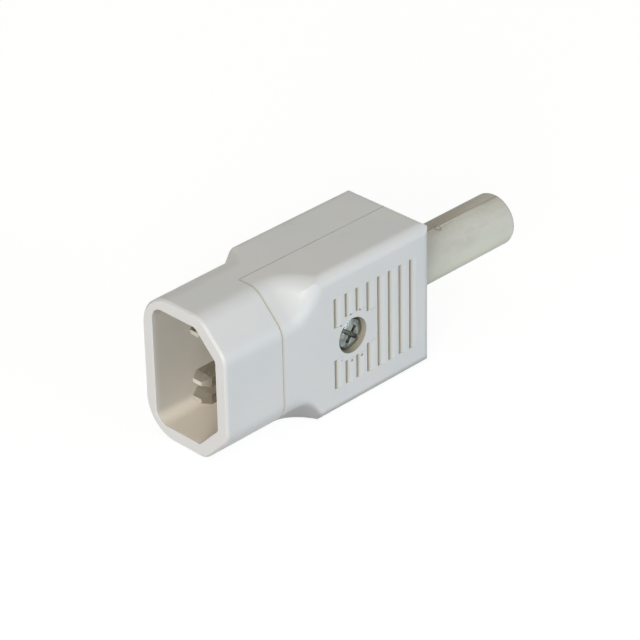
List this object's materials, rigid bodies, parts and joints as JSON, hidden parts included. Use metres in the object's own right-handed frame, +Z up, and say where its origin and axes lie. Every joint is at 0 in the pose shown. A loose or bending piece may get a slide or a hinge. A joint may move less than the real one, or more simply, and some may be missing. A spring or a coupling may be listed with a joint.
{
  "type": "rewirable inline appliance plug",
  "caption": "White screw-assembled inline appliance plug: shrouded flat blades in front, boxy clamshell grip body with a recessed cover screw, soft bend sleeve at the cord end.",
  "frame": {"origin": "centre of the shroud's mouth, in the plane of its front rim", "axes": "+X from the mating rim along the plug to the cord end; +Y from the cover side to the far half shell; +Z up, with the plug standing on its long narrow side"},
  "size_m": [0.0833, 0.022, 0.03],
  "materials": {
    "body_plastic": "fine satin moulding, warm white",
    "cover_plastic": "fine satin moulding, warm white",
    "clamp_plastic": "satin moulding",
    "pin_nickel": "dull nickel plating on brass",
    "screw_zinc": "bright zinc plating",
    "sleeve_rubber": "soft matte grey-beige"
  },
  "bodies": {
    "root": {"plug_body": "body_plastic", "body_cover": "cover_plastic", "line_pin": "pin_nickel", "neutral_pin": "pin_nickel", "earth_pin": "pin_nickel", "line_terminal_screw": "screw_zinc", "neutral_terminal_screw": "screw_zinc", "earth_terminal_screw": "screw_zinc", "cord_clamp_saddle": "clamp_plastic", "cord_clamp_screw_upper": "screw_zinc", "cord_clamp_screw_lower": "screw_zinc", "cover_screw": "screw_zinc", "bend_sleeve": "sleeve_rubber"}
  },
  "joints": []
}
